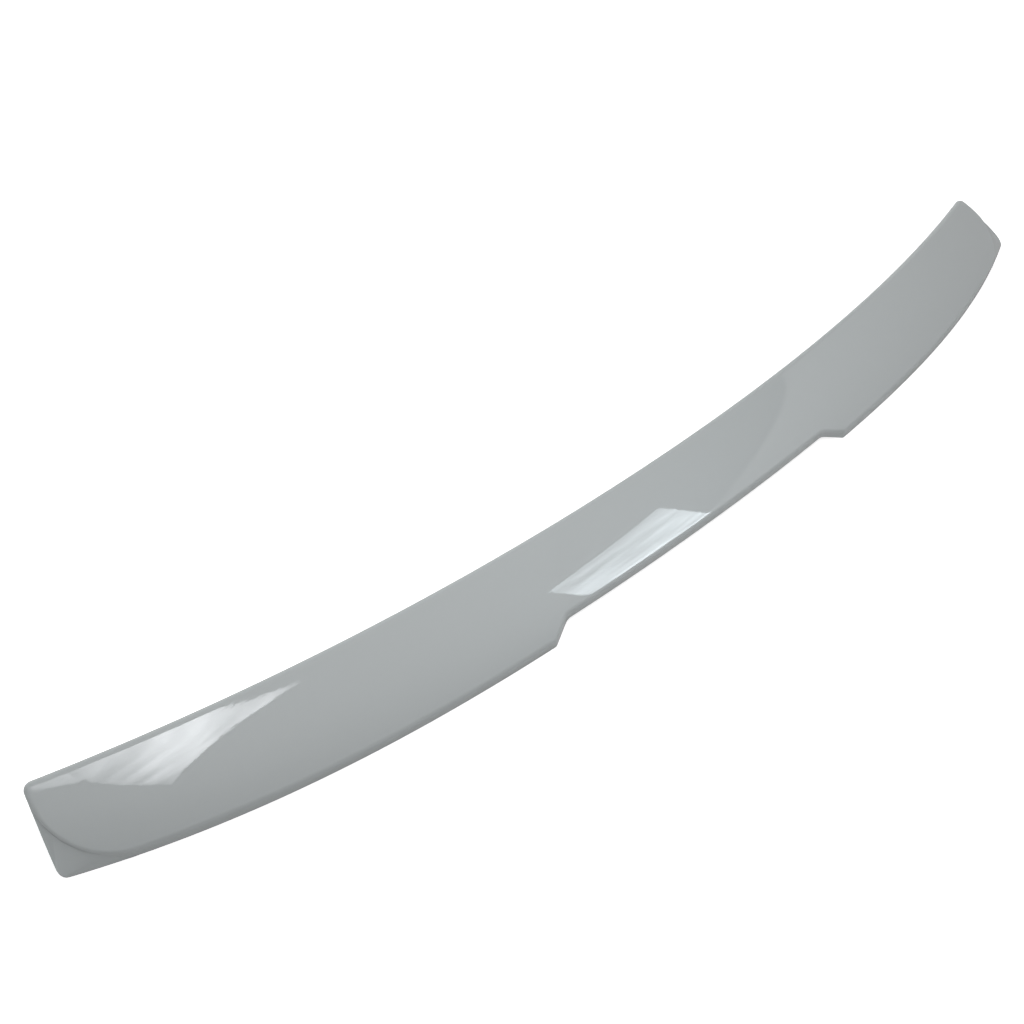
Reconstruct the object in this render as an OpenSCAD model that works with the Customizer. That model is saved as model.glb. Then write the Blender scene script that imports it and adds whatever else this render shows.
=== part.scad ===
// Roof-edge spoiler for a saloon car: one moulded shell, open underneath.
// X runs across the car, +Y points to the front of the car and +Z points up.
// The shell lies on its rear lip. The origin is the middle of its base.

/* [Plan outline] */
// Width across the front corners
blade_span = 1150; // [930:10:1370]
// How much further out each rear corner lies than the front corner
end_flare = 10.8; // [5:0.2:20]
// Depth at the middle, from the front edge to the line of the rear lip
blade_depth = 84.6; // [68:0.2:102]
// How far the front corners reach forward of the front edge's middle
front_sweep = 65.3; // [52:0.1:79]
// How far the rear corners reach forward of the rear lip's middle
rear_sweep = 86.5; // [69:0.2:104]
// Share of the front sweep that only comes towards the ends
front_end_share = 0.17; // [0:0.01:0.4]
// Share of the rear sweep that only comes towards the ends
rear_end_share = 0.42; // [0.2:0.01:0.6]
// Radius of the front corners in plan
front_corner_r = 6.5; // [4.5:0.5:12]

/* [Brake lamp notch] */
// Width of the notch at its mouth in the rear lip
notch_width = 376; // [300:1:450]
// Depth of the notch
notch_depth = 12.5; // [8:0.1:16]
// Length across the car of each slanted side
notch_run = 22; // [17:0.5:28]
// Radius of the corners at the notch floor
notch_floor_r = 15; // [8:0.5:20]
// Radius of the corners at the notch mouth
notch_mouth_r = 5; // [4:0.5:9]

/* [Heights] */
// Height of the front edge above the base, at the middle
front_height = 35.4; // [28:0.2:43]
// How much higher the front edge lies at its corners
front_rise = 3.8; // [0:0.2:6]
// Height of the rear lip above the base
lip_height = 9.5; // [7.5:0.1:12]
// Height of the blade's crown over a straight chord
crown = 2.5; // [1:0.1:4]
// How far the crown is moved to the rear, from 0 to 1
crown_bias = 0.5; // [0:0.05:0.8]

/* [Edges and wall] */
// Wall thickness
wall = 3; // [2:0.1:3.8]
// Depth of the rim under the front edge
front_rim = 5; // [4:0.1:6.5]
// Width of the rolled edge in plan
roll_width = 4.6; // [3.6:0.1:5.2]
// Height of the rolled edge where the rim is deep enough
roll_height = 4.2; // [3.4:0.1:5.4]

/* [Corner tabs] */
// Radius of the blade's own corner, inside the tab
tab_arc_r = 66; // [52:1:72]
// Thickness of the tab
tab_thickness = 3; // [2.4:0.1:3.8]
// Step down from the blade to the tab
tab_step = 3; // [2.4:0.1:3.6]
// Radius of the tab's corner in plan
tab_corner_r = 7; // [4:0.5:12]
// Chamfer along the tab's upper edge
tab_chamfer = 1.2; // [0.6:0.1:1.8]

/* [Hidden] */

paint_grey = [0.66, 0.68, 0.69];

// Facets along each stretch of half the outline
floor_steps = 9;
floor_corner_steps = 4;
side_steps = 2;
mouth_corner_steps = 3;
rear_steps = 18;
arc_half_steps = 7;
end_steps = 2;
front_corner_half_steps = 3;
roll_steps = 6;
inner_roll_steps = 3;

// The tab's outer edge has as many facets as the arc inside it
tab_corner_steps = 6;
tab_side_steps = arc_half_steps - tab_corner_steps / 2;

// Largest share of the room for it that a rounding takes up
room_share = 0.9;

front_half = blade_span / 2;
rear_half = front_half + end_flare;

function mix(a, b, t) = a + (b - a) * t;
function unit(v) = v / norm(v);
function turn_left(v) = [-v.y, v.x];
function turned(v, a) = [v.x * cos(a) - v.y * sin(a), v.x * sin(a) + v.y * cos(a)];

// Plan curves of the two long edges, each a bow that steepens to the ends
function bow(u, end_share) = (1 - end_share) * u ^ 2 + end_share * u ^ 4;
function front_y(x) = front_sweep * bow(x / front_half, front_end_share);
function rear_y(x) = rear_sweep * bow(x / rear_half, rear_end_share) - blade_depth;

// Share of the depth behind the front edge: 0 at the front, 1 at the rear lip
function depth_share(p) = (front_y(p.x) - p.y) / (front_y(p.x) - rear_y(p.x));

// Height of the upper surface, and of the rim's lower edge, over a plan point. The front
// edge levels off towards its corners, as a bow does with a share below 0.
rise_end_share = -1;
function front_z(x) = front_height + front_rise * bow(x / front_half, rise_end_share);
function crown_z(t) = crown * 4 * t * (1 - t) * (1 + crown_bias * (2 * t - 1));
function top_z(p) =
    let (t = depth_share(p))
    mix(front_z(p.x), lip_height, t) + crown_z(t);
function rim_depth(t) = front_rim + (lip_height - front_rim) * t ^ 2;
function rim_z(p) = top_z(p) - rim_depth(depth_share(p));

// Slope of the upper surface along a plan direction
slope_step = 2;
function slope(p, dir) =
    (top_z(p + dir * slope_step) - top_z(p - dir * slope_step)) / (2 * slope_step);
function steepness(p) = norm([1, slope(p, [1, 0]), slope(p, [0, 1])]);

// Arc of radius r that rounds off the corner b between a and c
function fillet(a, b, c, r, steps) =
    let (
        u = unit(a - b),
        v = unit(c - b),
        half_angle = acos(u * v) / 2,
        centre = b + unit(u + v) * r / sin(half_angle),
        start = b + u * r / tan(half_angle) - centre,
        turn = sign(cross(u, v)) * (2 * half_angle - 180)
    )
    [for (k = [0:steps]) centre + turned(start, turn * k / steps)];

// Straight run of points, without its last one
function run_to(a, b, steps) = [for (k = [0:steps - 1]) mix(a, b, k / steps)];

// Corners of the plan before rounding
front_corner = [front_half, front_sweep];
rear_corner = [rear_half, rear_y(rear_half)];
end_dir = unit(front_corner - rear_corner);
end_inward = turn_left(end_dir);

// A corner between a straight and a curved edge is rounded between the straight edge and
// a chord of the curved one, this many radii long
chord_radii = 3;

// Front corner arc, from the end edge round to the front edge
front_chord_x = front_half - chord_radii * front_corner_r;
front_corner_arc = fillet(
    rear_corner,
    front_corner,
    [front_chord_x, front_y(front_chord_x)],
    front_corner_r,
    2 * front_corner_half_steps
);

// The blade's own rear corner is an arc that touches the rear curve and the end edge
function rear_dir(x) = unit([2 * slope_step, rear_y(x + slope_step) - rear_y(x - slope_step)]);
corner_turn = acos(rear_dir(rear_half) * end_dir);
end_room = norm(front_corner_arc[0] - rear_corner);
arc_r = min(tab_arc_r, room_share * end_room / tan(corner_turn / 2));
function arc_centre(x) = [x, rear_y(x)] + arc_r * turn_left(rear_dir(x));
function arc_gap(x) = (arc_centre(x) - rear_corner) * end_inward - arc_r;
touch_halvings = 30;
function touch_x(lo, hi, tries = touch_halvings) =
    let (mid = (lo + hi) / 2)
    tries == 0 ? mid
    : arc_gap(mid) > 0 ? touch_x(mid, hi, tries - 1)
    : touch_x(lo, mid, tries - 1);
arc_x = touch_x(rear_half / 2, rear_half);
arc_middle = arc_centre(arc_x);
arc_start = [arc_x, rear_y(arc_x)] - arc_middle;
arc_turn = acos(unit(arc_start) * -end_inward);
corner_arc = [
    for (k = [0:2 * arc_half_steps])
    arc_middle + turned(arc_start, arc_turn * k / (2 * arc_half_steps))
];

// Half of the rear edge, from the middle to the centre of the corner arc
notch_floor_x = notch_width / 2 - notch_run;
function on_rear(q) = [q.x, rear_y(q.x) + q.y];
floor_corner = fillet(
    [0, notch_depth],
    [notch_floor_x, notch_depth],
    [notch_width / 2, 0],
    notch_floor_r,
    floor_corner_steps
);
mouth_corner = fillet(
    [notch_floor_x, notch_depth],
    [notch_width / 2, 0],
    [rear_half, 0],
    notch_mouth_r,
    mouth_corner_steps
);
notch_line = concat(
    run_to([0, notch_depth], floor_corner[0], floor_steps),
    [for (k = [0:floor_corner_steps - 1]) floor_corner[k]],
    run_to(floor_corner[floor_corner_steps], mouth_corner[0], side_steps),
    [for (k = [0:mouth_corner_steps - 1]) mouth_corner[k]],
    run_to(mouth_corner[mouth_corner_steps], [arc_x, 0], rear_steps)
);
rear_line = concat(
    [for (q = notch_line) on_rear(q)],
    [for (k = [0:arc_half_steps]) corner_arc[k]]
);
columns = len(rear_line) - 1;

// End edge, from the centre of the corner arc to the centre of the front corner
end_line = concat(
    [for (k = [arc_half_steps:2 * arc_half_steps - 1]) corner_arc[k]],
    run_to(corner_arc[2 * arc_half_steps], front_corner_arc[0], end_steps),
    [for (k = [0:front_corner_half_steps]) front_corner_arc[k]]
);
rows = len(end_line) - 1;

// Half of the front edge, with its points opposite those of the rear edge
front_stop = front_corner_arc[2 * front_corner_half_steps];
front_columns = columns - front_corner_half_steps;
front_line = concat(
    [
        for (k = [0:front_columns - 1])
        let (x = front_stop.x * rear_line[k].x / rear_line[front_columns].x)
        [x, front_y(x)]
    ],
    [for (k = [0:front_corner_half_steps]) front_corner_arc[2 * front_corner_half_steps - k]]
);

// Outline as one loop that turns left, from the middle of the rear edge
function mirrored(p) = [-p.x, p.y];
function backwards(list) = [for (k = [len(list) - 1:-1:0]) list[k]];
function inside(list) = [for (k = [1:len(list) - 2]) list[k]];
function whole_loop(half) = concat(half, backwards([for (p = inside(half)) mirrored(p)]));
half_outline = concat(rear_line, inside(end_line), backwards(front_line));
outline = whole_loop(half_outline);
loop = len(outline);

// Outer edge of the tab, point by point against the corner arc: on along the rear
// curve, round the rear corner and up the end edge
tab_chord_x = rear_half - chord_radii * tab_corner_r;
tab_corner = fillet(
    [tab_chord_x, rear_y(tab_chord_x)],
    rear_corner,
    front_corner,
    tab_corner_r,
    tab_corner_steps
);
tab_line = concat(
    [
        for (k = [0:tab_side_steps - 1])
        let (x = mix(arc_x, tab_corner[0].x, k / tab_side_steps))
        [x, rear_y(x)]
    ],
    [for (k = [0:tab_corner_steps - 1]) tab_corner[k]],
    run_to(tab_corner[tab_corner_steps], corner_arc[2 * arc_half_steps], tab_side_steps),
    [corner_arc[2 * arc_half_steps]]
);
first_tab = columns - arc_half_steps;
half_outer = [
    for (k = [0:len(half_outline) - 1])
    let (at = k - first_tab)
    at > 0 && at < 2 * arc_half_steps ? tab_line[at] : half_outline[k]
];
outer_line = whole_loop(half_outer);
function tab_width(i) = norm(outer_line[i] - outline[i]);

// The tab rises out of the rim over the first quarter of the arc from either tip
tip_share = 0.25;
half_tab_share = [
    for (k = [0:len(half_outline) - 1])
    let (q = (k - first_tab) / (2 * arc_half_steps))
    max(0, min(1, q / tip_share, (1 - q) / tip_share))
];
tab_share = concat(half_tab_share, backwards(inside(half_tab_share)));

// Plan direction into the part at each point of the outline
inward = [
    for (i = [0:loop - 1])
    unit(turn_left(outline[(i + 1) % loop] - outline[(i + loop - 1) % loop]))
];

// Radius at which the outline bends outwards, where it does. Round a tight corner the roll
// is narrower, on both faces of the wall, and widens again slowly on either side of it.
straight_r = 10000;
widening = 0.15;
roll_bend_share = 0.7;
inner_bend_share = 0.85;
bend_r = [
    for (i = [0:loop - 1])
    let (
        before = outline[i] - outline[(i + loop - 1) % loop],
        after = outline[(i + 1) % loop] - outline[i],
        turn = cross(before, after)
    )
    turn > 0 ? min(straight_r, norm(before) * norm(after) * norm(before + after) / (2 * turn))
    : straight_r
];
tight = [for (i = [0:loop - 1]) if (bend_r[i] < roll_width / roll_bend_share) i];
tightest_r = [
    for (i = [0:loop - 1])
    min([
        straight_r,
        for (j = tight)
        let (gap = norm(outline[i] - outline[j]))
        bend_r[j] + widening * max(0, gap - bend_r[j])
    ])
];

// Depth of the roll's foot under the upper surface: that of the rim, or of the tab's step
edge_depth = [for (p = outline) rim_depth(depth_share(p))];
foot_depth = [for (i = [0:loop - 1]) mix(edge_depth[i], tab_step, tab_share[i])];
foot_z = [for (i = [0:loop - 1]) top_z(outline[i]) - foot_depth[i]];

// Where the foot lies higher, the roll is as much narrower as it is lower
roll_reach = [
    for (i = [0:loop - 1])
    min(roll_width * min(1, foot_depth[i] / roll_height), roll_bend_share * tightest_r[i])
];
inner_reach = [
    for (r = tightest_r)
    max(min(roll_width, inner_bend_share * r), wall / room_share)
];

// The rolled edge is part of an ellipse that leaves the upper surface along its slope
roll_slope = [
    for (i = [0:loop - 1])
    slope(outline[i] + inward[i] * roll_reach[i], inward[i])
];
roll_start = [for (i = [0:loop - 1]) 90 + atan(roll_slope[i] * roll_reach[i] / roll_height)];
roll_inset = [for (i = [0:loop - 1]) roll_reach[i] * (1 + cos(roll_start[i]))];
roll_top = [for (i = [0:loop - 1]) top_z(outline[i] + inward[i] * roll_inset[i])];
roll_drop = [
    for (i = [0:loop - 1])
    min(roll_height * sin(roll_start[i]), room_share * (roll_top[i] - foot_z[i]))
];

function lifted(p, z) = [p.x, p.y, z];
function roll_ring(step) = [
    for (i = [0:loop - 1])
    let (
        a = mix(roll_start[i], 180, step / roll_steps),
        p = outline[i] + inward[i] * roll_reach[i] * (1 + cos(a)),
        drop = roll_drop[i] * (1 - sin(a) / sin(roll_start[i]))
    )
    lifted(p, roll_top[i] - drop)
];

// Foot of the roll: where the tab begins, or else halfway down the rim's outer face
rim_middle = 0.5;
function flange_z(i) = tab_width(i) > 0 ? foot_z[i]
    : mix(roll_top[i] - roll_drop[i], foot_z[i], rim_middle);
foot_ring = [for (i = [0:loop - 1]) lifted(outline[i], flange_z(i))];

// Tab: upper face, chamfer and outer edge. It lies nowhere higher than its step.
chamfer_share = 0.4;
function tab_edge(i) =
    let (width = tab_width(i))
    width > 0
    ? outer_line[i] + (outline[i] - outer_line[i]) * min(tab_chamfer / width, chamfer_share)
    : outline[i];
lift = [
    for (i = [0:loop - 1])
    let (depth = rim_depth(depth_share(outer_line[i])))
    min(tab_thickness * tab_share[i], depth - tab_step)
];
tab_top_ring = [
    for (i = [0:loop - 1])
    let (p = tab_edge(i))
    lifted(p, rim_z(p) + lift[i])
];
tab_side_ring = [
    for (i = [0:loop - 1])
    let (chamfer = min(tab_chamfer, chamfer_share * lift[i]))
    lifted(outer_line[i], rim_z(outer_line[i]) + lift[i] - chamfer)
];

// Lower edge of the rim, or lower face of the tab, then the inside of the shell
rim_outer_ring = [for (i = [0:loop - 1]) lifted(outer_line[i], rim_z(outer_line[i]))];
rim_inner_z = [
    for (i = [0:loop - 1])
    top_z(outline[i]) - mix(edge_depth[i], tab_step + tab_thickness, tab_share[i])
];
rim_inner_ring = [
    for (i = [0:loop - 1])
    lifted(outline[i] + inward[i] * wall, rim_inner_z[i])
];
function inner_z(p) = top_z(p) - wall * steepness(p);
function inner_edge(i) = outline[i] + inward[i] * inner_reach[i];
least_inner_roll = 1;
function inner_roll_drop(i) =
    min(
        max(roll_height - wall, least_inner_roll),
        room_share * (inner_z(inner_edge(i)) - rim_inner_z[i])
    );
function inner_ring(step) = [
    for (i = [0:loop - 1])
    let (
        a = 90 * step / inner_roll_steps,
        p = outline[i] + inward[i] * mix(inner_reach[i], wall, cos(a))
    )
    lifted(p, inner_z(inner_edge(i)) - inner_roll_drop(i) * (1 - sin(a)))
];

rings = concat(
    [for (step = [0:roll_steps]) roll_ring(step)],
    [foot_ring, tab_top_ring, tab_side_ring, rim_outer_ring, rim_inner_ring],
    [for (step = [0:inner_roll_steps]) inner_ring(step)]
);
foot = roll_steps + 1;
last_ring = len(rings) - 1;

// Away from the tabs, the two tab rings fall together with the foot
function ring_point(r, i) =
    let (k = i % loop)
    (r == foot + 1 || r == foot + 2) && tab_width(k) == 0 ? foot * loop + k : r * loop + k;

// The upper and the inner surface are grids that meet their rings all round
grid_columns = 2 * columns;
inner_columns = grid_columns - 1;
inner_rows = rows - 1;
function loop_at(c, r) =
    r == 0 ? (c >= columns ? c - columns : 3 * columns + 2 * rows + c)
    : r == rows ? 3 * columns + rows - c
    : c == grid_columns ? columns + r
    : 3 * columns + 2 * rows - r;
function on_edge(c, r) = c == 0 || c == grid_columns || r == 0 || r == rows;

// Rows follow the end edge; the bulge of the ends fades out towards the middle
function length_to(line, k) =
    k == 0 ? 0 : length_to(line, k - 1) + norm(line[k] - line[k - 1]);
end_length = [for (r = [0:rows]) length_to(end_line, r)];
function row_share(r) = end_length[r] / end_length[rows];
bulge_fade = 6;
function flat(p) = [p.x, p.y];
function grid_plan(ring, c, r) =
    let (
        t = row_share(r),
        rear = flat(ring[loop_at(c, 0)]),
        front = flat(ring[loop_at(c, rows)]),
        side = c < columns ? 0 : grid_columns,
        side_rear = flat(ring[loop_at(side, 0)]),
        side_front = flat(ring[loop_at(side, rows)]),
        bulge = flat(ring[loop_at(side, r)]) - mix(side_rear, side_front, t),
        fade = (rear.x / side_rear.x) ^ bulge_fade
    )
    mix(rear, front, t) + bulge * fade;
function top_grid() = [
    for (r = [1:rows - 1])
    for (c = [1:grid_columns - 1])
    let (p = grid_plan(rings[0], c, r))
    lifted(p, top_z(p))
];
function inner_grid() = [
    for (r = [1:rows - 1])
    for (c = [1:grid_columns - 1])
    let (p = grid_plan(rings[last_ring], c, r))
    lifted(p, inner_z(p))
];

ring_points = [for (ring = rings) each ring];
grid_size = inner_columns * inner_rows;
function top_point(c, r) =
    on_edge(c, r) ? loop_at(c, r)
    : len(ring_points) + (r - 1) * inner_columns + c - 1;
function inner_point(c, r) =
    on_edge(c, r) ? last_ring * loop + loop_at(c, r)
    : len(ring_points) + grid_size + (r - 1) * inner_columns + c - 1;

// Two triangles for each four-sided patch, less those with no area
function patch(a, b, c, d, other_way) =
    let (halves = other_way ? [[a, b, d], [b, c, d]] : [[a, b, c], [a, c, d]])
    [for (f = halves) if (f[0] != f[1] && f[1] != f[2] && f[2] != f[0]) f];
ring_faces = [
    for (r = [0:last_ring - 1])
    for (i = [0:loop - 1])
    each patch(
        ring_point(r, i),
        ring_point(r, i + 1),
        ring_point(r + 1, i + 1),
        ring_point(r + 1, i),
        i >= loop / 2
    )
];
top_faces = [
    for (r = [0:rows - 1])
    for (c = [0:grid_columns - 1])
    each patch(
        top_point(c, r),
        top_point(c, r + 1),
        top_point(c + 1, r + 1),
        top_point(c + 1, r),
        c < columns
    )
];
inner_faces = [
    for (r = [0:rows - 1])
    for (c = [0:grid_columns - 1])
    each patch(
        inner_point(c, r),
        inner_point(c + 1, r),
        inner_point(c + 1, r + 1),
        inner_point(c, r + 1),
        c >= columns
    )
];

all_y = [for (p = outer_line) p.y];
middle_y = (min(all_y) + max(all_y)) / 2;

module spoiler_shell() {
    color(paint_grey)
    translate([0, -middle_y, 0])
    polyhedron(
        points = concat(ring_points, top_grid(), inner_grid()),
        faces = concat(ring_faces, top_faces, inner_faces)
    );
}

spoiler_shell();
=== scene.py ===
# Roof-edge spoiler for a saloon car: one moulded shell in gloss pale grey paint.
from collections import namedtuple
from math import acos, atan, cos, hypot, pi, radians, sin, tan

import bmesh
import bpy
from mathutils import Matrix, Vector


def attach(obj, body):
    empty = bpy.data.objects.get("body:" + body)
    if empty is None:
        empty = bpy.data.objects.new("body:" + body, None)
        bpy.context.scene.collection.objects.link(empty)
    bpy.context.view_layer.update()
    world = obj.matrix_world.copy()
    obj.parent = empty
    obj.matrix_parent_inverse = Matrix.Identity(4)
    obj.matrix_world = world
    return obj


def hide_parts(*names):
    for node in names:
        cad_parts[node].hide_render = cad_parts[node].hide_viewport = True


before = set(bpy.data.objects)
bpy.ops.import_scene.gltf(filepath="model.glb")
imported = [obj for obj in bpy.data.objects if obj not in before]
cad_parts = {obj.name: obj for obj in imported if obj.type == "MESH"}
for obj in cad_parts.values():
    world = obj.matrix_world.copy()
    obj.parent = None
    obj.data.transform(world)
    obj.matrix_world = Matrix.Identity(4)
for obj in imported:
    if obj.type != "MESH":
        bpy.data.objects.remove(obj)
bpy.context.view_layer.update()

bl_info = {
    "name": "Roof-edge spoiler",
    "version": (1, 0, 0),
    "blender": (4, 5, 0),
    "location": "View3D > Sidebar > Spoiler",
    "description": "Models, paints and lights a one-piece roof-edge spoiler",
    "category": "Object",
}

NODE = "spoiler_shell"
BODY = "root"
PIECE = "roof_edge_spoiler"


def length(name, description, default, **limits):
    """A size in metres, shown in the scene's own unit."""
    return bpy.props.FloatProperty(
        name=name, description=description, default=default,
        unit="LENGTH", precision=5, **limits,
    )


def share(name, description, default):
    """A number from 0 to 1."""
    return bpy.props.FloatProperty(
        name=name, description=description, default=default,
        min=0, max=1, subtype="FACTOR",
    )


def brightness(name, description, default):
    """Brightness of a lamp's face, where 1 is white."""
    return bpy.props.FloatProperty(
        name=name, description=description, default=default, min=0,
    )


def colour(name, description, default):
    """A linear colour."""
    return bpy.props.FloatVectorProperty(
        name=name, description=description, default=default,
        subtype="COLOR", min=0, max=1,
    )


class ShellSizes(bpy.types.PropertyGroup):
    """Sizes of the moulded shell."""

    blade_span: length("Blade span", "Width across the front corners", 1.150)
    end_flare: length("End flare", "How much further out each rear corner lies", 0.0108)
    blade_depth: length("Blade depth", "Front edge to rear lip at the middle", 0.0846)
    front_sweep: length("Front sweep", "How far the front corners reach forward", 0.0653)
    rear_sweep: length("Rear sweep", "How far the rear corners reach forward", 0.0865)
    front_end_share: share("Front end share", "Front sweep that only comes at the ends", 0.17)
    rear_end_share: share("Rear end share", "Rear sweep that only comes at the ends", 0.42)
    front_corner_r: length("Front corner radius", "In plan", 0.0065)

    notch_width: length("Notch width", "Width of the notch at its mouth", 0.376)
    notch_depth: length("Notch depth", "Depth of the notch in the rear lip", 0.0125)
    notch_run: length("Notch side run", "Length across the car of each slanted side", 0.022)
    notch_floor_r: length("Notch floor radius", "Of the corners at the floor", 0.015)
    notch_mouth_r: length("Notch mouth radius", "Of the corners at the mouth", 0.005)

    front_height: length("Front height", "Front edge above the base, at the middle", 0.0354)
    front_rise: length("Front rise", "How much higher the front corners lie", 0.0038)
    lip_height: length("Lip height", "Rear lip above the base", 0.0095)
    crown: length("Crown", "Height of the blade over a straight chord", 0.0025)
    crown_bias: share("Crown bias", "How far the crown is moved to the rear", 0.5)

    wall: length("Wall", "Wall thickness", 0.003)
    front_rim: length("Front rim", "Depth of the rim under the front edge", 0.005)
    roll_width: length("Roll width", "Width of the rolled edge in plan", 0.0046)
    roll_height: length("Roll height", "Height of the rolled edge", 0.0042)
    edge_r: length("Edge radius", "Of the small roundings on the rim and the tab", 0.0006)

    tab_arc_r: length("Tab arc radius", "Of the blade's own corner, inside the tab", 0.066)
    tab_thickness: length("Tab thickness", "Thickness of the tab", 0.003)
    tab_step: length("Tab step", "Step down from the blade to the tab", 0.003)
    tab_corner_r: length("Tab corner radius", "In plan", 0.007)
    crease_r: length("Crease radius", "Of the hollow corner between blade and tab", 0.0008)

    facet: length("Facet", "About how long the facets along the outline are", 0.0045)


class PaintLook(bpy.types.PropertyGroup):
    """Colours and finish of the paint."""

    grey: colour("Grey", "Colour of the paint", (0.44, 0.47, 0.475))
    flake: share("Flake", "How much the finest flakes differ from the paint", 0.04)
    peel: share("Orange peel", "Strength of the slight waviness of the clear coat", 0.02)
    gloss: share("Coat roughness", "Roughness of the clear coat", 0.012)


class StudioLook(bpy.types.PropertyGroup):
    """Floor, lamps and camera."""

    floor: colour("Floor", "Colour of the floor", (0.8, 0.8, 0.8))
    floor_lift: share("Floor lift", "Light that the floor shows to the camera alone", 0.8)
    floor_size: length("Floor size", "Side of the floor", 14.0)
    air: colour("Air", "Colour of the soft light from all round", (1, 1, 1))
    sky_front: share("Sky at the front", "Level of the soft light there", 0.5)
    sky_rear: share("Sky at the rear", "Level of the soft light there", 0.31)
    wall_lift: share("Right wall", "How much brighter its reflection is than the room's", 0.35)
    corner_shade: share("Corner", "How much darker the room's corner beside it is", 0.3)
    key: brightness("Key lamp", "Level of its face", 2.1)
    front: brightness("Front lamp", "Level of its face", 0.7)
    right_window: brightness("Right window", "Level of its pane", 7.2)
    left_window: brightness("Left window", "Level of its pane", 8.96)
    left_window_end: brightness("End of the left window", "Level of its pane", 4.0)
    camera_place: bpy.props.FloatVectorProperty(
        name="Camera place", description="Where the camera stands",
        default=(-0.5668, -0.4522, 0.7564), subtype="TRANSLATION", unit="LENGTH",
    )
    camera_azimuth: bpy.props.FloatProperty(
        name="Camera azimuth", description="Turn about the upright axis, from looking to the front",
        default=radians(-40.912), subtype="ANGLE",
    )
    camera_elevation: bpy.props.FloatProperty(
        name="Camera elevation", description="How steeply the camera looks down",
        default=radians(47.82), subtype="ANGLE",
    )
    lens: bpy.props.FloatProperty(
        name="Lens", description="Focal length for a sensor 36 mm wide",
        default=39.375, unit="CAMERA",
    )


# How finely the shell is modelled
FRONT_CORNER_STEPS = 10
NOTCH_FLOOR_STEPS = 8
NOTCH_MOUTH_STEPS = 6
SLANT_FINENESS = 2  # facets on the notch's slanted sides, for each one elsewhere
ARC_FINENESS = 1.5  # the same for the arc inside the tab
LEAST_ARC_HALF = 4  # fewest facets on half of that arc
ROLL_STEPS = 10
INNER_ROLL_STEPS = 6
CREASE_STEPS = 3
TAB_ROUND_STEPS = 2
RIM_ROUND_STEPS = 3
INNER_ROUND_STEPS = 2
TOUCH_HALVINGS = 40  # halvings in the search for the place where the arc touches the end edge
SLOPE_STEP = 0.002  # how far ahead and behind a slope is measured
MERGE_DISTANCE = 2e-6
SMOOTH_BELOW = radians(40)

# Points of the edge's section: on the foot and the tab, and on the whole outer skin
TAB_POINTS = CREASE_STEPS + 1 + TAB_ROUND_STEPS + 1
OUTER_POINTS = ROLL_STEPS + 1 + TAB_POINTS + RIM_ROUND_STEPS + 1

# How the shell's curves run
RISE_END_SHARE = -1  # below 0, so the front edge's rise levels off towards the ends
CHORD_RADII = 3  # beside a corner a curved edge is taken as a chord, so many radii wide
BULGE_FADE = 6  # power with which the bulge of the ends fades to the middle
TIP_SHARE = 0.25  # share of the arc over which the tab thickens at each of its tips
STRAIGHT_R = 10.0  # radius that stands for a straight run
LEAST_TURN = 1e-12  # a smaller cross product of two runs counts as straight
WIDENING = 0.15  # width that the roll regains for each length away from a tight corner
LEAST_INNER_DROP = 0.001  # so the roll's hollow side never goes flat

# How much of the room beside it each rounding may take
ROLL_BEND_SHARE = 0.7
INNER_BEND_SHARE = 0.85
ROOM_SHARE = 0.9
TAB_WIDTH_SHARE = 0.3
CREASE_HEIGHT_SHARE = 0.5
TAB_HEIGHT_SHARE = 0.4

# The room that the gloss reflects
RIGHT_TINT = (0.91, 1.0, 1.05)
LEFT_TINT = (0.98, 1.0, 1.03)
WALL_SIDE = (0.697, -0.397, -0.597)  # square to the plane through the wall's edge
CORNER_REACH = 0.2  # how far the corner's shade reaches, as the sine of an angle
FOLD_DEPTH = 1.25  # how much a curtain's folds differ from its mean

SENSOR_WIDTH = 36.0

Cut = namedtuple("Cut", "side edge tilt bend middle", defaults=(0, 0, 0))


def mix(a, b, t):
    """Value or point a share t of the way from a to b."""
    return a + (b - a) * t


def bow(u, end_share):
    """A bow from 0 in the middle to 1 at the ends, steeper there with more end_share."""
    return (1 - end_share) * u ** 2 + end_share * u ** 4


def turned(v, a):
    """Plan vector v turned left by angle a."""
    return Vector((v.x * cos(a) - v.y * sin(a), v.x * sin(a) + v.y * cos(a)))


def turned_left(v):
    """Plan vector v turned left by a right angle."""
    return Vector((-v.y, v.x))


def fillet(a, b, c, r, steps):
    """Arc of radius r that rounds off the corner b between a and c."""
    u = (a - b).normalized()
    v = (c - b).normalized()
    half = acos(u.dot(v)) / 2
    centre = b + (u + v).normalized() * (r / sin(half))
    start = b + u * (r / tan(half)) - centre
    turn = (2 * half - pi) * (1 if u.cross(v) > 0 else -1)
    return [centre + turned(start, turn * k / steps) for k in range(steps + 1)]


def run_to(a, b, steps):
    """Straight run of points from a to b, without the last one."""
    return [mix(a, b, k / steps) for k in range(steps)]


def quarter_turn(steps):
    """Angles from 0 to a right angle, in so many steps."""
    return [pi / 2 * k / steps for k in range(steps + 1)]


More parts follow.
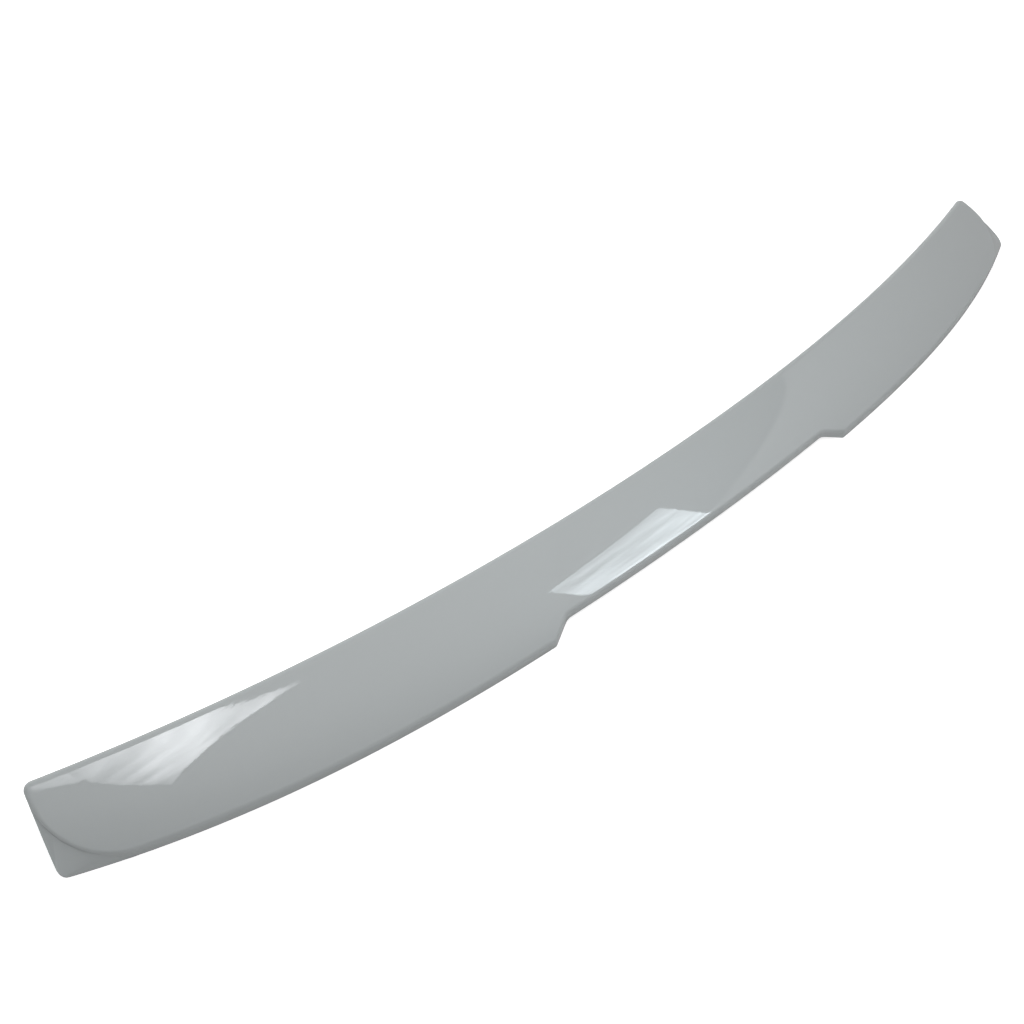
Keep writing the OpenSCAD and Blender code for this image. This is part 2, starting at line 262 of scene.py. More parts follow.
class ShellShape:
    """Outline, heights and edge section of the shell, worked out from its sizes."""

    def __init__(self, sizes):
        self.s = sizes
        self.front_half = sizes.blade_span / 2
        self.rear_half = self.front_half + sizes.end_flare
        self.draw_outline()
        self.draw_tab()
        self.limit_rolls()
        ys = [p.y for p in self.outer]
        self.middle_y = (min(ys) + max(ys)) / 2

    # Plan curves of the two long edges, and heights over a plan point

    def front_y(self, x):
        return self.s.front_sweep * bow(x / self.front_half, self.s.front_end_share)

    def rear_y(self, x):
        return self.s.rear_sweep * bow(x / self.rear_half, self.s.rear_end_share) - self.s.blade_depth

    def depth_share(self, p):
        """0 at the front edge, 1 at the rear lip."""
        front = self.front_y(p.x)
        return (front - p.y) / (front - self.rear_y(p.x))

    def top_z(self, p):
        """Height of the crowned upper surface."""
        t = self.depth_share(p)
        rise = self.s.front_rise * bow(p.x / self.front_half, RISE_END_SHARE)
        crown = self.s.crown * 4 * t * (1 - t) * (1 + self.s.crown_bias * (2 * t - 1))
        return mix(self.s.front_height + rise, self.s.lip_height, t) + crown

    def rim_depth(self, p):
        """Depth of the rim, which grows from the front edge to the rear lip."""
        t = self.depth_share(p)
        return self.s.front_rim + (self.s.lip_height - self.s.front_rim) * t ** 2

    def rim_z(self, p):
        """Height of the rim's lower edge."""
        return self.top_z(p) - self.rim_depth(p)

    def slope(self, p, direction):
        """Slope of the upper surface in a direction."""
        ahead = self.top_z(p + direction * SLOPE_STEP)
        behind = self.top_z(p - direction * SLOPE_STEP)
        return (ahead - behind) / (2 * SLOPE_STEP)

    def inner_z(self, p):
        """Height of the wall's inner face."""
        across = self.slope(p, Vector((1, 0)))
        along = self.slope(p, Vector((0, 1)))
        return self.top_z(p) - self.s.wall * hypot(1, across, along)

    # Outline of the blade

    def rear_dir(self, x):
        """Direction of the rear curve."""
        rise = self.rear_y(x + SLOPE_STEP) - self.rear_y(x - SLOPE_STEP)
        return Vector((1, rise / (2 * SLOPE_STEP))).normalized()

    def steps_for(self, a, b):
        """Facets that a stretch from a to b takes."""
        return max(2, round((b - a).length / self.s.facet))

    def draw_outline(self):
        """Half the outline, from the middle of the rear lip round the end to the middle of
        the front edge, and the whole loop."""
        s = self.s
        self.rear_corner = Vector((self.rear_half, self.rear_y(self.rear_half)))
        self.front_corner = Vector((self.front_half, s.front_sweep))
        chord_x = self.front_half - CHORD_RADII * s.front_corner_r
        front_arc = fillet(
            self.rear_corner, self.front_corner, Vector((chord_x, self.front_y(chord_x))),
            s.front_corner_r, FRONT_CORNER_STEPS,
        )
        half_corner = FRONT_CORNER_STEPS // 2
        arc = self.draw_arc(front_arc[0])
        rear = self.rear_line() + arc[:self.arc_half + 1]
        self.columns = len(rear) - 1

        # End edge, from the centre of the arc to the centre of the front corner
        self.end = (
            arc[self.arc_half:-1]
            + run_to(arc[-1], front_arc[0], self.steps_for(arc[-1], front_arc[0]))
            + front_arc[:half_corner + 1]
        )
        self.rows = len(self.end) - 1

        # Half of the front edge, its points opposite those of the rear edge
        front_columns = self.columns - half_corner
        xs = [front_arc[-1].x * q.x / rear[front_columns].x for q in rear[:front_columns]]
        front = [Vector((x, self.front_y(x))) for x in xs] + front_arc[half_corner:][::-1]

        self.half = rear + self.end[1:-1] + front[::-1]
        self.outline = self.whole_loop(self.half)
        self.loop = len(self.outline)

    def draw_arc(self, end_top):
        """The blade's own rear corner: an arc that touches the rear curve and the end edge."""
        s = self.s
        end_dir = (self.front_corner - self.rear_corner).normalized()
        end_inward = turned_left(end_dir)
        room = (end_top - self.rear_corner).length
        corner_turn = acos(self.rear_dir(self.rear_half).dot(end_dir))
        arc_r = min(s.tab_arc_r, ROOM_SHARE * room / tan(corner_turn / 2))

        def arc_centre(x):
            return Vector((x, self.rear_y(x))) + turned_left(self.rear_dir(x)) * arc_r

        low, high = self.rear_half / 2, self.rear_half
        for _ in range(TOUCH_HALVINGS):
            middle = (low + high) / 2
            if (arc_centre(middle) - self.rear_corner).dot(end_inward) > arc_r:
                low = middle
            else:
                high = middle
        self.arc_x = low
        centre = arc_centre(self.arc_x)
        start = Vector((self.arc_x, self.rear_y(self.arc_x))) - centre
        arc_turn = acos(start.normalized().dot(-end_inward))
        self.arc_half = max(LEAST_ARC_HALF, round(arc_r * arc_turn / s.facet * ARC_FINENESS / 2))
        steps = 2 * self.arc_half
        arc = [centre + turned(start, arc_turn * k / steps) for k in range(steps + 1)]
        self.arc_end = arc[-1]
        return arc

    def rear_line(self):
        """Half of the rear edge, over the notch, from the middle to the start of the arc."""
        s = self.s
        floor_x = s.notch_width / 2 - s.notch_run
        floor_middle, floor_end = Vector((0, s.notch_depth)), Vector((floor_x, s.notch_depth))
        mouth = Vector((s.notch_width / 2, 0))
        arc_foot = Vector((self.arc_x, 0))
        floor_arc = fillet(floor_middle, floor_end, mouth, s.notch_floor_r, NOTCH_FLOOR_STEPS)
        mouth_arc = fillet(
            floor_end, mouth, Vector((self.rear_half, 0)), s.notch_mouth_r, NOTCH_MOUTH_STEPS)
        slant_steps = SLANT_FINENESS * self.steps_for(floor_arc[-1], mouth_arc[0])
        line = (
            run_to(floor_middle, floor_arc[0], self.steps_for(floor_middle, floor_arc[0]))
            + floor_arc[:-1]
            + run_to(floor_arc[-1], mouth_arc[0], slant_steps)
            + mouth_arc[:-1]
            + run_to(mouth_arc[-1], arc_foot, self.steps_for(mouth_arc[-1], arc_foot))
        )
        return [Vector((q.x, self.rear_y(q.x) + q.y)) for q in line]

    @staticmethod
    def whole_loop(half):
        """The half outline and its mirror image, as one loop that turns left."""
        return half + [Vector((-p.x, p.y)) for p in half[-2:0:-1]]

    # Corner tab

    def draw_tab(self):
        """The tab's outline, point by point against the arc inside it, and how fully thick
        the tab is at each of them."""
        s = self.s
        steps = 2 * self.arc_half
        corner_steps = 2 * (self.arc_half // 2)
        side_steps = (steps - corner_steps) // 2
        chord_x = self.rear_half - CHORD_RADII * s.tab_corner_r
        corner = fillet(
            Vector((chord_x, self.rear_y(chord_x))), self.rear_corner, self.front_corner,
            s.tab_corner_r, corner_steps,
        )
        xs = [mix(self.arc_x, corner[0].x, k / side_steps) for k in range(side_steps)]
        line = (
            [Vector((x, self.rear_y(x))) for x in xs]
            + corner[:-1]
            + run_to(corner[-1], self.arc_end, side_steps)
            + [self.arc_end]
        )
        first = self.columns - self.arc_half
        half_outer = list(self.half)
        half_outer[first + 1:first + steps] = line[1:steps]
        self.outer = self.whole_loop(half_outer)
        self.tab_width = [(a - b).length for a, b in zip(self.outer, self.outline)]

        shares = []
        for k in range(len(self.half)):
            q = (k - first) / steps
            shares.append(max(0, min(1, q / TIP_SHARE, (1 - q) / TIP_SHARE)))
        self.tab_share = shares + shares[-2:0:-1]

    # Rolled edge

    def limit_rolls(self):
        """Reach of the roll at each place: round a tight corner the roll is narrower, and
        it widens again slowly on either side."""
        s, loop, outline = self.s, self.loop, self.outline
        self.inward = [
            turned_left(outline[(i + 1) % loop] - outline[i - 1]).normalized()
            for i in range(loop)
        ]
        bend = []
        for i in range(loop):
            before = outline[i] - outline[i - 1]
            after = outline[(i + 1) % loop] - outline[i]
            turn = before.cross(after)
            around = before.length * after.length * (before + after).length
            bend.append(min(STRAIGHT_R, around / (2 * turn)) if turn > LEAST_TURN else STRAIGHT_R)
        tight = [i for i in range(loop) if bend[i] < s.roll_width / ROLL_BEND_SHARE]
        self.foot_depth, self.roll_reach, self.inner_reach = [], [], []
        for i, p in enumerate(outline):
            limits = [
                bend[j] + WIDENING * max(0, (p - outline[j]).length - bend[j]) for j in tight
            ]
            least = min(limits, default=STRAIGHT_R)
            foot = mix(self.rim_depth(p), s.tab_step, self.tab_share[i])
            room = min(1, foot / s.roll_height)
            self.foot_depth.append(foot)
            self.roll_reach.append(min(s.roll_width * room, ROLL_BEND_SHARE * least))
            self.inner_reach.append(
                max(min(s.roll_width, INNER_BEND_SHARE * least), s.wall / ROOM_SHARE)
            )

    # Section of the edge at one place of the outline, from the upper to the inner surface

    def roll(self, i):
        """Part of an ellipse that leaves the upper surface along its slope."""
        s, p, inward, reach = self.s, self.outline[i], self.inward[i], self.roll_reach[i]
        tilt = self.slope(p + inward * reach, inward)
        start = pi / 2 + atan(tilt * reach / s.roll_height)
        edge = p + inward * (reach * (1 + cos(start)))
        top = self.top_z(edge)
        foot = self.top_z(p) - self.foot_depth[i]
        drop = min(s.roll_height * sin(start), ROOM_SHARE * (top - foot))
        points = []
        for k in range(ROLL_STEPS + 1):
            a = mix(start, pi, k / ROLL_STEPS)
            q = p + inward * (reach * (1 + cos(a)))
            points.append((q, top - drop * (1 - sin(a) / sin(start))))
        return points

    def foot_and_tab(self, i, roll_end_z):
        """Foot of the roll, then the tab's upper face and its rounded edge. Beside the tab
        all these points lie at one place on the rim."""
        s, p, out = self.s, self.outline[i], self.outer[i]
        width = self.tab_width[i]
        foot = self.top_z(p) - self.foot_depth[i]
        if width == 0:
            halfway = mix(roll_end_z, foot, 0.5)
            return [(p, halfway)] * TAB_POINTS
        outward = (out - p) / width
        lift = min(s.tab_thickness * self.tab_share[i], self.rim_depth(out) - s.tab_step)
        edge_z = self.rim_z(out) + lift
        crease = min(
            s.crease_r, TAB_WIDTH_SHARE * width, CREASE_HEIGHT_SHARE * (roll_end_z - foot))
        round_r = min(s.edge_r, TAB_WIDTH_SHARE * width, TAB_HEIGHT_SHARE * lift)
        points = []
        for a in quarter_turn(CREASE_STEPS):
            q = p + outward * (crease * (1 - cos(a)))
            z = mix(foot, edge_z, crease * (1 - cos(a)) / width) + crease * (1 - sin(a))
            points.append((q, z))
        for a in quarter_turn(TAB_ROUND_STEPS):
            q = out - outward * (round_r * (1 - sin(a)))
            points.append((q, edge_z - round_r * (1 - cos(a))))
        return points

    def lower_edge(self, i):
        """Small roundings at the lower edge of the rim or the tab, and the height of its
        inner side."""
        s, p, out, inward = self.s, self.outline[i], self.outer[i], self.inward[i]
        r = s.edge_r
        side = inward
        if self.tab_width[i] > 0:
            tab_inward = turned_left(self.outer[(i + 1) % self.loop] - self.outer[i - 1])
            side = (inward + tab_inward.normalized()).normalized()
        inner_z = self.top_z(p) - mix(
            self.rim_depth(p), s.tab_step + s.tab_thickness, self.tab_share[i])
        inner = p + inward * s.wall
        points = []
        for a in quarter_turn(RIM_ROUND_STEPS):
            points.append((out + side * (r * (1 - cos(a))), self.rim_z(out) + r * (1 - sin(a))))
        for a in quarter_turn(INNER_ROUND_STEPS):
            points.append((inner - inward * (r * (1 - sin(a))), inner_z + r * (1 - cos(a))))
        return points, inner_z

    def inner_roll(self, i, rim_inner_z):
        """Hollow side of the roll."""
        s, p, inward = self.s, self.outline[i], self.inward[i]
        edge = p + inward * self.inner_reach[i]
        top = self.inner_z(edge)
        room = ROOM_SHARE * (top - rim_inner_z) - s.edge_r
        drop = min(max(s.roll_height - s.wall, LEAST_INNER_DROP), room)
        points = []
        for a in quarter_turn(INNER_ROLL_STEPS):
            q = p + inward * mix(self.inner_reach[i], s.wall, cos(a))
            points.append((q, top - drop * (1 - sin(a))))
        return points

    def section(self, i):
        """Points of the edge's section, in the part's frame."""
        roll = self.roll(i)
        tab = self.foot_and_tab(i, roll[-1][1])
        lower, inner_z = self.lower_edge(i)
        inner = self.inner_roll(i, inner_z)
        return [self.place(q, z) for q, z in roll + tab + lower + inner]

    def place(self, p, z):
        """Plan point p at height z, in the part's frame."""
        return Vector((p.x, p.y - self.middle_y, z))

    # Grids of the upper and the inner surface

    def loop_at(self, c, r):
        """Place in the outline of a point on the grid's edge."""
        columns, rows = self.columns, self.rows
        if r == 0:
            return c - columns if c >= columns else 3 * columns + 2 * rows + c
        if r == rows:
            return 3 * columns + rows - c
        return columns + r if c == 2 * columns else 3 * columns + 2 * rows - r

    def row_shares(self):
        """Share of the end edge's length at each row of the grids."""
        total, shares = 0.0, [0.0]
        for a, b in zip(self.end, self.end[1:]):
            total += (b - a).length
            shares.append(total)
        return [d / total for d in shares]

    def grid_point(self, edge, c, r, shares):
        """Plan point of a grid inside its edge. The end's bulge fades to the middle."""
        t = shares[r]
        side = 0 if c < self.columns else 2 * self.columns
        rear, front = edge[self.loop_at(c, 0)], edge[self.loop_at(c, self.rows)]
        side_rear, side_front = edge[self.loop_at(side, 0)], edge[self.loop_at(side, self.rows)]
        bulge = edge[self.loop_at(side, r)] - mix(side_rear, side_front, t)
        return mix(rear, front, t) + bulge * (rear.x / side_rear.x) ** BULGE_FADE


def deselect_everything():
    """Nothing is selected or active, so an operator acts on the new piece alone."""
    bpy.ops.object.select_all(action="DESELECT")
    bpy.context.view_layer.objects.active = None


def lay_grid(bm, shape, edge, height, place_layer):
    """Move the selected flat grid's points onto the shell's surface."""
    columns, rows = 2 * shape.columns, shape.rows
    shares = shape.row_shares()
    plan = [Vector((q.x, q.y + shape.middle_y)) for q in edge]
    for v in [v for v in bm.verts if v.select]:
        c = round((v.co.x + 0.5) * columns)
        r = round((v.co.y + 0.5) * rows)
        if c in (0, columns) or r in (0, rows):
            i = shape.loop_at(c, r)
            v[place_layer] = i
            v.co = edge[i]
        else:
            p = shape.grid_point(plan, c, r, shares)
            v.co = shape.place(p, height(p))


def open_mesh(shell):
    """The shell's mesh in edit mode, and its layers: each point's place in the outline, and
    whether it lies inside."""
    bm = bmesh.from_edit_mesh(shell.data)
    return bm, bm.verts.layers.int["place"], bm.verts.layers.float["inside"]


def model_shell(shape):
    """A grid is laid on the upper surface, its edge extruded round the section to the
    inside of the wall, and closed there by a second grid."""
    deselect_everything()
    columns, rows = 2 * shape.columns, shape.rows
    bpy.ops.mesh.primitive_grid_add(x_subdivisions=columns, y_subdivisions=rows, size=1)
    shell = bpy.context.object
    shell.name = PIECE
    shell.data.name = PIECE
    sections = [shape.section(i) for i in range(shape.loop)]

    bpy.ops.object.mode_set(mode="EDIT")
    bpy.ops.mesh.select_mode(type="VERT")
    bpy.ops.mesh.select_all(action="SELECT")
    layers = bmesh.from_edit_mesh(shell.data).verts.layers
    layers.int.new("place")
    layers.float.new("inside")
    bm, place_layer, inside_layer = open_mesh(shell)
    lay_grid(bm, shape, [s[0] for s in sections], shape.top_z, place_layer)
    bmesh.update_edit_mesh(shell.data)

    bpy.ops.mesh.select_mode(type="EDGE")
    bpy.ops.mesh.select_all(action="DESELECT")
    bpy.ops.mesh.select_non_manifold(
        use_wire=False, use_boundary=True, use_multi_face=False,
        use_non_contiguous=False, use_verts=False,
    )
    for ring in range(1, len(sections[0])):
        bpy.ops.mesh.extrude_edges_move(TRANSFORM_OT_translate={"value": (0, 0, 0)})
        bm, place_layer, inside_layer = open_mesh(shell)
        for v in bm.verts:
            if v.select:
                v.co = sections[v[place_layer]][ring]
                v[inside_layer] = float(ring >= OUTER_POINTS)
        bmesh.update_edit_mesh(shell.data)

    bpy.ops.mesh.select_mode(type="VERT")
    bpy.ops.mesh.select_all(action="DESELECT")
    bpy.ops.mesh.primitive_grid_add(x_subdivisions=columns, y_subdivisions=rows, size=1)
    bm, place_layer, inside_layer = open_mesh(shell)
    for v in bm.verts:
        if v.select:
            v[inside_layer] = 1.0
    lay_grid(bm, shape, [s[-1] for s in sections], shape.inner_z, place_layer)
    bmesh.update_edit_mesh(shell.data)
    bpy.ops.mesh.flip_normals()
    bpy.ops.mesh.select_all(action="SELECT")
    bpy.ops.mesh.remove_doubles(threshold=MERGE_DISTANCE)
    bpy.ops.mesh.normals_make_consistent(inside=False)
    bpy.ops.object.mode_set(mode="OBJECT")
    bpy.ops.object.shade_smooth_by_angle(angle=SMOOTH_BELOW)
    return shell


def new_material(name):
    """A node material, its node tree and its shader."""
    material = bpy.data.materials.new(name)
    material.use_nodes = True
    return material, material.node_tree, material.node_tree.nodes["Principled BSDF"]


def formula(tree, operation, *values):
    """A math node; a value is a number or another node's output."""
    made = tree.nodes.new("ShaderNodeMath")
    made.operation = operation
    for slot, value in zip(made.inputs, values):
        if isinstance(value, bpy.types.NodeSocket):
            tree.links.new(value, slot)
        else:
            slot.default_value = value
    return made.outputs["Value"]


def ramp(tree, value, start, end, from_level, to_level):
    """A level that runs from from_level at start to to_level at end, and holds beyond."""
    made = tree.nodes.new("ShaderNodeMapRange")
    made.inputs["From Min"].default_value = start
    made.inputs["From Max"].default_value = end
    made.inputs["To Min"].default_value = from_level
    made.inputs["To Max"].default_value = to_level
    tree.links.new(value, made.inputs["Value"])
    return made.outputs["Result"]


def noise(tree, place, scale, detail):
    """Noise that varies with the place, with so many grains to each unit of length."""
    made = tree.nodes.new("ShaderNodeTexNoise")
    made.inputs["Scale"].default_value = scale
    made.inputs["Detail"].default_value = detail
    tree.links.new(place, made.inputs["Vector"])
    return made.outputs["Fac"]


def on_object(tree):
    """Place on the object."""
    return tree.nodes.new("ShaderNodeTexCoord").outputs["Object"]


def shades(tree, pattern, grey, dark, light):
    """The grey times a share that the pattern moves between dark and light."""
    tint = tree.nodes.new("ShaderNodeMix")
    tint.data_type = "RGBA"
    tint.inputs["A"].default_value = (*(grey * dark), 1)
    tint.inputs["B"].default_value = (*(grey * light), 1)
    tree.links.new(pattern, tint.inputs["Factor"])
    return tint.outputs["Result"]


def raised(tree, pattern, strength, distance):
    """Normal of a surface that the pattern raises."""
    bump = tree.nodes.new("ShaderNodeBump")
    bump.inputs["Strength"].default_value = strength
    bump.inputs["Distance"].default_value = distance
    tree.links.new(pattern, bump.inputs["Height"])
    return bump.outputs["Normal"]


def gloss_paint(look):
    """Pale grey paint under a clear coat, with fine flake and a trace of orange peel."""
    material, tree, shader = new_material("gloss_grey_paint")
    shader.inputs["Metallic"].default_value = 0.0
    shader.inputs["Roughness"].default_value = 0.45
    shader.inputs["Coat Weight"].default_value = 1.0
    shader.inputs["Coat Roughness"].default_value = look.gloss
    shader.inputs["Coat IOR"].default_value = 1.5
    flake = noise(tree, on_object(tree), scale=2600.0, detail=1.0)
    tint = shades(tree, flake, Vector(look.grey), dark=1 - look.flake, light=1 + look.flake)
    tree.links.new(tint, shader.inputs["Base Color"])
    peel = noise(tree, on_object(tree), scale=260.0, detail=2.0)
    coat = raised(tree, peel, strength=look.peel, distance=0.0004)
    tree.links.new(coat, shader.inputs["Coat Normal"])
    return material


def dry_spray(look):
    """The thin, dull paint that reaches the inside of the shell."""
    material, tree, shader = new_material("thin_grey_paint")
    shader.inputs["Roughness"].default_value = 0.6
    mottle = noise(tree, on_object(tree), scale=30.0, detail=6.0)
    tint = shades(tree, mottle, Vector(look.grey), dark=0.72, light=0.92)
    tree.links.new(tint, shader.inputs["Base Color"])
    grain = noise(tree, on_object(tree), scale=900.0, detail=3.0)
    face = raised(tree, grain, strength=0.15, distance=0.0003)
    tree.links.new(face, shader.inputs["Normal"])
    return material


def paint_shell(shell, look):
    """Gloss paint on the outer skin, thin paint on faces whose points all lie inside."""
    for paint in (gloss_paint, dry_spray):
        shell.data.materials.append(paint(look))
    inside = shell.data.attributes["inside"].data
    for face in shell.data.polygons:
        face.material_index = int(all(inside[v].value for v in face.vertices))


class SPOILER_OT_shell(bpy.types.Operator):
    """Model and paint the one-piece moulded shell"""

    bl_idname = "spoiler.shell"
    bl_label = "Moulded shell"

    def execute(self, context):
        shape = ShellShape(context.scene.spoiler_sizes)
        shell = model_shell(shape)
        paint_shell(shell, context.scene.spoiler_paint)
        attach(shell, BODY)
        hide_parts(NODE)
        return {"FINISHED"}


def floor_material(look):
    """Pale floor that shows white to the camera, apart from the object's soft shadow."""
    material, tree, shader = new_material("pale_floor")
    shader.inputs["Base Color"].default_value = (*look.floor, 1)
    shader.inputs["Roughness"].default_value = 0.8
    shader.inputs["Specular IOR Level"].default_value = 0.1
    shader.inputs["Emission Color"].default_value = (1, 1, 1, 1)
    seen = tree.nodes.new("ShaderNodeLightPath").outputs["Is Camera Ray"]
    lift = formula(tree, "MULTIPLY", seen, look.floor_lift)
    tree.links.new(lift, shader.inputs["Emission Strength"])
    return material


def lay_floor(look):
    """A wide floor under the part."""
    bpy.ops.mesh.primitive_plane_add(size=look.floor_size, location=(0, 0, 0))
    floor = bpy.context.object
    floor.name = "floor"
    floor.data.materials.append(floor_material(look))


def light_world(look):
    """Soft light from all round, stronger from the front. The gloss alone reflects a paler
    wall to the right and the room's darker corner beside it, and the camera sees white."""
    world = bpy.data.worlds.new("studio_air")
    bpy.context.scene.world = world
    world.use_nodes = True
    tree = world.node_tree
    air = tree.nodes["Background"]
    air.inputs["Color"].default_value = (*look.air, 1)
    direction = tree.nodes.new("ShaderNodeTexCoord").outputs["Generated"]
    parts = tree.nodes.new("ShaderNodeSeparateXYZ")
    tree.links.new(direction, parts.inputs["Vector"])
    sky = ramp(tree, parts.outputs["Y"], -1.0, 1.0, look.sky_rear, look.sky_front)

    beyond = tree.nodes.new("ShaderNodeVectorMath")
    beyond.operation = "DOT_PRODUCT"
    beyond.inputs[1].default_value = WALL_SIDE
    tree.links.new(direction, beyond.inputs[0])
    on_wall = formula(tree, "GREATER_THAN", beyond.outputs["Value"], 0.0)
    corner = ramp(tree, beyond.outputs["Value"], -CORNER_REACH, 0.0, 0.0, -look.corner_shade)
    wall = formula(tree, "MULTIPLY_ADD", on_wall, look.wall_lift + look.corner_shade, corner)
    path = tree.nodes.new("ShaderNodeLightPath")
    total = formula(tree, "MULTIPLY_ADD", wall, path.outputs["Is Glossy Ray"], sky)
    tree.links.new(total, air.inputs["Strength"])

    white = tree.nodes.new("ShaderNodeBackground")
    white.inputs["Color"].default_value = (1, 1, 1, 1)
    blend = tree.nodes.new("ShaderNodeMixShader")
    tree.links.new(path.outputs["Is Camera Ray"], blend.inputs["Fac"])
    tree.links.new(air.outputs["Background"], blend.inputs[1])
    tree.links.new(white.outputs["Background"], blend.inputs[2])
    tree.links.new(blend.outputs["Shader"], tree.nodes["World Output"].inputs["Surface"])


def softbox(name, place, turn, size, level, tint=(1, 1, 1)):
    """A rectangular lamp whose face shines at the given level."""
    bpy.ops.object.light_add(
        type="AREA", location=place, rotation=[radians(angle) for angle in turn])
    lamp = bpy.context.object
    lamp.name = name
    lamp.data.name = name
    lamp.data.shape = "RECTANGLE"
    lamp.data.size, lamp.data.size_y = size
    lamp.data.energy = level * pi * size[0] * size[1]
    lamp.data.color = tint
    return lamp


def squared_from(tree, value, middle):
    """Square of the distance from the middle."""
    return formula(tree, "POWER", formula(tree, "SUBTRACT", value, middle), 2.0)


def hang_window(name, place, turn, size, level, tint, folds, ends=1.0, fade=(0, 0), cuts=()):
    """A curtained window that shows in the gloss alone. The folds are so many across u
    and v, the ends of v may be dimmer than the middle, and fade makes it brighter along u
    and v. A cut leaves the window open where side * u + tilt * v + bend * (v - middle) ** 2
    is over edge."""
    lamp = softbox(name, place, turn, size, level, tint)
    lamp.visible_diffuse = False
    lamp.visible_camera = False
    lamp.data.use_nodes = True
    tree = lamp.data.node_tree
    pane = tree.nodes.new("ShaderNodeNewGeometry").outputs["Parametric"]
    along = tree.nodes.new("ShaderNodeSeparateXYZ")
    tree.links.new(pane, along.inputs["Vector"])
    u, v = along.outputs["X"], along.outputs["Y"]
    stretch = tree.nodes.new("ShaderNodeMapping")
    stretch.inputs["Scale"].default_value = (*folds, 1.0)
    tree.links.new(pane, stretch.inputs["Vector"])
    curtain = noise(tree, stretch.outputs["Vector"], scale=1.0, detail=3.0)
    shine = formula(tree, "MULTIPLY_ADD", curtain, 2 * FOLD_DEPTH, 1.0 - FOLD_DEPTH)

    # The arch is 1 in the middle of v and 0 at its ends
    arch = formula(tree, "MULTIPLY_ADD", squared_from(tree, v, 0.5), -4.0, 1.0)
    arched = formula(tree, "MULTIPLY_ADD", arch, 1.0 - ends, ends)
    shine = formula(tree, "MULTIPLY", shine, arched)
    slant = formula(tree, "MULTIPLY_ADD", u, fade[0], formula(tree, "MULTIPLY", v, fade[1]))
    faded = formula(tree, "ADD", slant, 1.0 - sum(fade) / 2)
    shine = formula(tree, "MULTIPLY", shine, faded)
    for cut in cuts:
        reach = formula(tree, "MULTIPLY_ADD", v, cut.tilt, formula(tree, "MULTIPLY", u, cut.side))
        reach = formula(
            tree, "MULTIPLY_ADD", squared_from(tree, v, cut.middle), cut.bend, reach)
        is_open = formula(tree, "GREATER_THAN", reach, cut.edge)
        shine = formula(tree, "MULTIPLY", shine, is_open)
    tree.links.new(shine, tree.nodes["Emission"].inputs["Strength"])


def hang_lamps(look):
    """A key lamp above the part, a lamp in front of it, and the windows that it reflects."""
    key = softbox(
        "key_lamp", place=(-0.08, 0.1, 0.92), turn=(0, 0, 0), size=(0.9, 0.9), level=look.key)
    key.visible_glossy = False
    softbox(
        "front_lamp", place=(0, 2, 0.65), turn=(-73, 0, 0), size=(2.4, 0.6), level=look.front)
    hang_window(
        "right_window", place=(0.515, -0.25, 1.065), turn=(-24.6, -20.5, -162.4),
        size=(0.315, 0.353), level=look.right_window, tint=RIGHT_TINT,
        folds=(1.5, 7), fade=(-0.15, 0.8),
    )
    rounded = Cut(side=1, edge=0.208, bend=0.52, middle=0.45)
    slanted = Cut(side=-1, edge=-0.12, tilt=0.67)
    hang_window(
        "left_window", place=(-0.463, 0.085, 1.235), turn=(0, 0, 117.2),
        size=(0.378, 0.471), level=look.left_window, tint=LEFT_TINT,
        folds=(9, 1.5), ends=0.25, cuts=[rounded, slanted],
    )
    hang_window(
        "left_window_end", place=(-0.74, 0.055, 1.235), turn=(0, 0, 0),
        size=(0.11, 0.095), level=look.left_window_end, tint=LEFT_TINT, folds=(1, 5),
    )


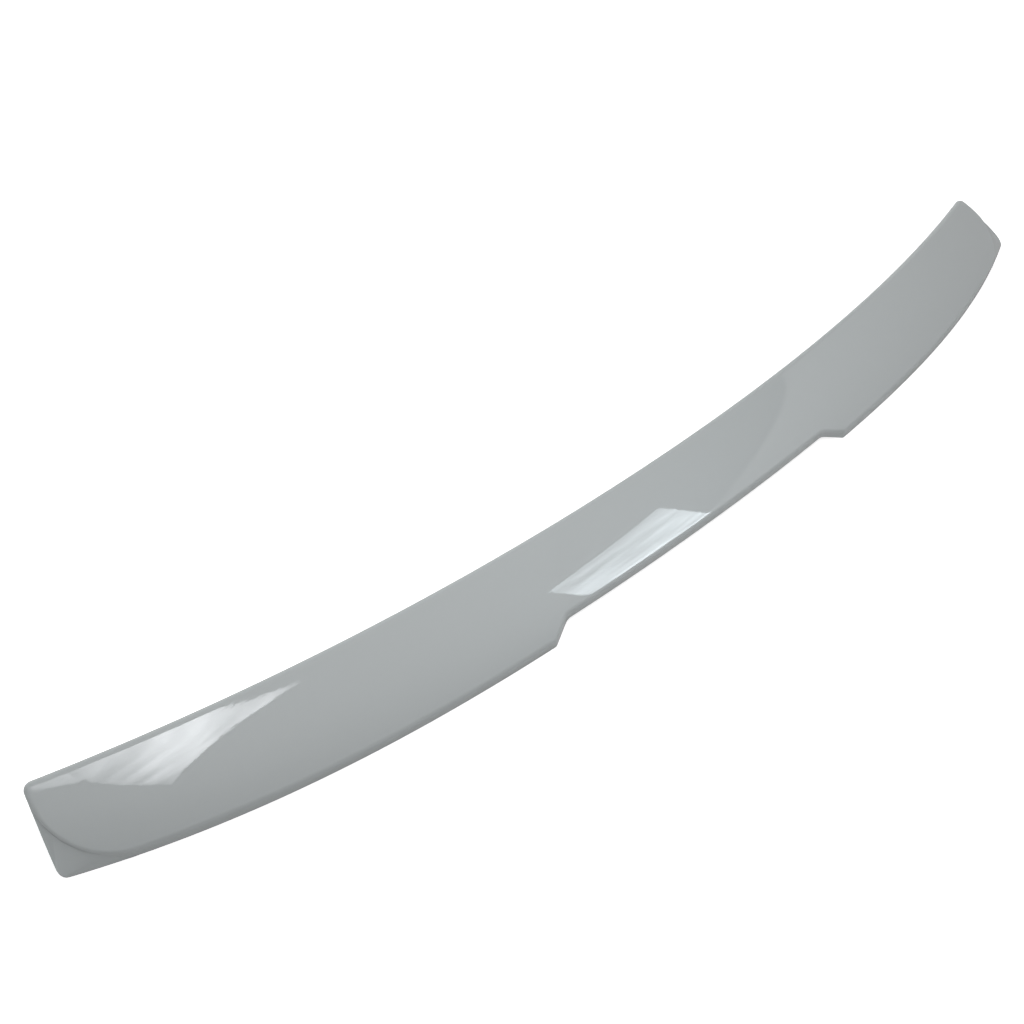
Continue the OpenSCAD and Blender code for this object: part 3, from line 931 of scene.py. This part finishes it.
def set_camera(scene, look):
    """A camera at the named place, and plain colours in the picture."""
    camera = bpy.data.cameras.new("camera")
    camera.sensor_width = SENSOR_WIDTH
    camera.lens = look.lens
    camera.clip_start = 0.01
    eye = bpy.data.objects.new("camera", camera)
    scene.collection.objects.link(eye)
    eye.location = look.camera_place
    eye.rotation_euler = (pi / 2 - look.camera_elevation, 0, look.camera_azimuth)
    scene.camera = eye
    scene.view_settings.view_transform = "Standard"


class SPOILER_OT_studio(bpy.types.Operator):
    """Set up the floor, the lamps and the camera"""

    bl_idname = "spoiler.studio"
    bl_label = "Studio"

    def execute(self, context):
        look = context.scene.spoiler_studio
        deselect_everything()
        lay_floor(look)
        light_world(look)
        hang_lamps(look)
        set_camera(context.scene, look)
        return {"FINISHED"}


class SPOILER_PT_panel(bpy.types.Panel):
    """Operators and sizes of the spoiler"""

    bl_idname = "SPOILER_PT_panel"
    bl_label = "Roof-edge spoiler"
    bl_space_type = "VIEW_3D"
    bl_region_type = "UI"
    bl_category = "Spoiler"

    def draw(self, context):
        layout = self.layout
        for operator in (SPOILER_OT_shell, SPOILER_OT_studio):
            layout.operator(operator.bl_idname)
        for group in ("spoiler_sizes", "spoiler_paint", "spoiler_studio"):
            box = layout.box()
            values = getattr(context.scene, group)
            for name in values.bl_rna.properties.keys():
                if name not in ("rna_type", "name"):
                    box.prop(values, name)


CLASSES = (
    ShellSizes, PaintLook, StudioLook, SPOILER_OT_shell, SPOILER_OT_studio, SPOILER_PT_panel,
)


def register():
    """Make the sizes, the operators and the panel known to Blender."""
    for c in CLASSES:
        bpy.utils.register_class(c)
    bpy.types.Scene.spoiler_sizes = bpy.props.PointerProperty(type=ShellSizes)
    bpy.types.Scene.spoiler_paint = bpy.props.PointerProperty(type=PaintLook)
    bpy.types.Scene.spoiler_studio = bpy.props.PointerProperty(type=StudioLook)


def unregister():
    """Take them out again."""
    del bpy.types.Scene.spoiler_sizes
    del bpy.types.Scene.spoiler_paint
    del bpy.types.Scene.spoiler_studio
    for c in reversed(CLASSES):
        bpy.utils.unregister_class(c)


def main():
    """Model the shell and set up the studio."""
    register()
    bpy.ops.spoiler.shell()
    bpy.ops.spoiler.studio()


if __name__ == "__main__":
    main()
